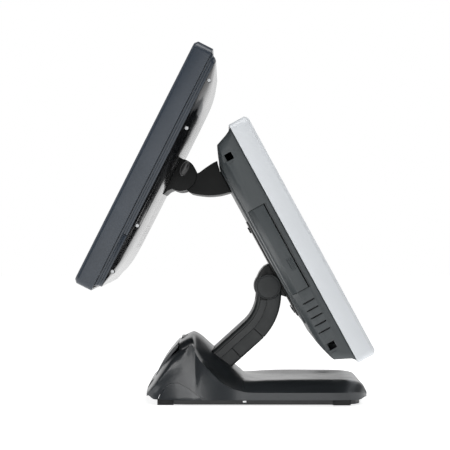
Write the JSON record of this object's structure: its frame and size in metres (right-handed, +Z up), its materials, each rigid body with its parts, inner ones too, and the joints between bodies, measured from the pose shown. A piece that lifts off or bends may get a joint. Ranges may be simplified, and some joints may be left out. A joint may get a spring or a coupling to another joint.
{
  "type": "pos touchscreen terminal",
  "caption": "Countertop point-of-sale terminal: a tilting operator touchscreen with a customer screen behind it, on a curved neck and a wide base.",
  "frame": {"origin": "on the counter, under the middle of the object's box", "axes": "+Z up; the operator's screen faces -Y and the customer's faces +Y; +X to the operator's right"},
  "size_m": [0.36, 0.3222, 0.3967],
  "materials": {
    "silver_plastic": "satin pale silver paint",
    "screen_glass": "dark touch glass over an unlit panel",
    "panel_stack": "bare panel housing",
    "housing_plastic": "finely textured dark grey",
    "slate_plastic": "satin blue-grey",
    "gloss_black": "high gloss black",
    "neck_plastic": "satin near-black",
    "neck_casting": "die-cast, painted satin near-black",
    "hinge_casting": "satin black paint",
    "arm_plastic": "satin black",
    "base_plastic": "satin dark grey with a soft sheen",
    "dark_plastic": "matt black",
    "foot_rubber": "matt",
    "steel": "zinc plated",
    "cast_iron": "rough casting",
    "alloy": "plain",
    "circuit_board": "green solder mask",
    "lamp_lens": "milky"
  },
  "bodies": {
    "base": {"base_plate": "dark_plastic", "base_cover": "base_plastic", "side_panel_left": "base_plastic", "side_panel_right": "base_plastic", "cover_release_tab": "base_plastic", "ballast_plate": "cast_iron", "status_light": "lamp_lens", "foot_front_left": "foot_rubber", "foot_front_right": "foot_rubber", "foot_rear_left": "foot_rubber", "foot_rear_right": "foot_rubber", "neck_frame": "neck_casting", "neck_rear_cover": "neck_plastic", "neck_front_cover_upper": "neck_plastic", "neck_front_cover_middle": "neck_plastic", "neck_front_cover_lower": "neck_plastic", "hinge_cap_left": "neck_plastic", "hinge_cap_right": "neck_plastic", "tilt_shaft": "steel", "friction_washer_left": "steel", "friction_washer_right": "steel"},
    "cable_cover": {"rear_cable_cover": "base_plastic"},
    "head": {"operator_bezel": "silver_plastic", "operator_glass": "screen_glass", "operator_lcd_panel": "panel_stack", "operator_chassis": "alloy", "main_board": "circuit_board", "heat_sink": "alloy", "rear_housing": "housing_plastic", "io_panel": "steel", "mount_plate": "hinge_casting", "mount_screw_1": "hinge_casting", "mount_screw_2": "hinge_casting", "mount_screw_3": "hinge_casting", "mount_screw_4": "hinge_casting", "head_hinge_bracket": "hinge_casting", "customer_arm_cover": "arm_plastic", "customer_arm_core": "steel"},
    "drive_tray": {"drive_door": "housing_plastic", "drive_sled": "alloy", "solid_state_drive": "dark_plastic"},
    "power_button": {"power_button": "dark_plastic"},
    "customer_display": {"customer_bezel": "slate_plastic", "customer_glass": "screen_glass", "customer_lcd_panel": "panel_stack", "customer_mid_frame": "slate_plastic", "customer_back_cover": "gloss_black", "customer_board": "circuit_board", "side_screw_left_1": "steel", "side_screw_left_2": "steel", "side_screw_left_3": "steel", "side_screw_left_4": "steel", "side_screw_right_1": "steel", "side_screw_right_2": "steel", "side_screw_right_3": "steel", "side_screw_right_4": "steel", "customer_bracket": "arm_plastic", "customer_tilt_shaft": "steel", "customer_hinge_cap_left": "gloss_black", "customer_hinge_cap_right": "gloss_black"}
  },
  "joints": [
    {"name": "display_tilt", "type": "hinge", "parent": "base", "child": "head", "pos_m": [0, -0.0492, 0.1295], "axis": [-1, 0, 0], "range_deg": [-14, 20]},
    {"name": "customer_tilt", "type": "hinge", "parent": "head", "child": "customer_display", "pos_m": [0, 0.0499, 0.2554], "axis": [-1, 0, 0], "range_deg": [-10, 25]},
    {"name": "drive_tray_slide", "type": "slide", "parent": "head", "child": "drive_tray", "axis": [-1, 0, 0], "range_m": [0, 0.11]},
    {"name": "power_button_press", "type": "slide", "parent": "head", "child": "power_button", "axis": [0, 0.4787, 0.878], "range_m": [0, 0.001], "stiffness_N_per_m": 1200, "springref_m": -0.0005},
    {"name": "cable_cover_slide", "type": "slide", "parent": "base", "child": "cable_cover", "axis": [0, 1, 0], "range_m": [0, 0.06]}
  ]
}
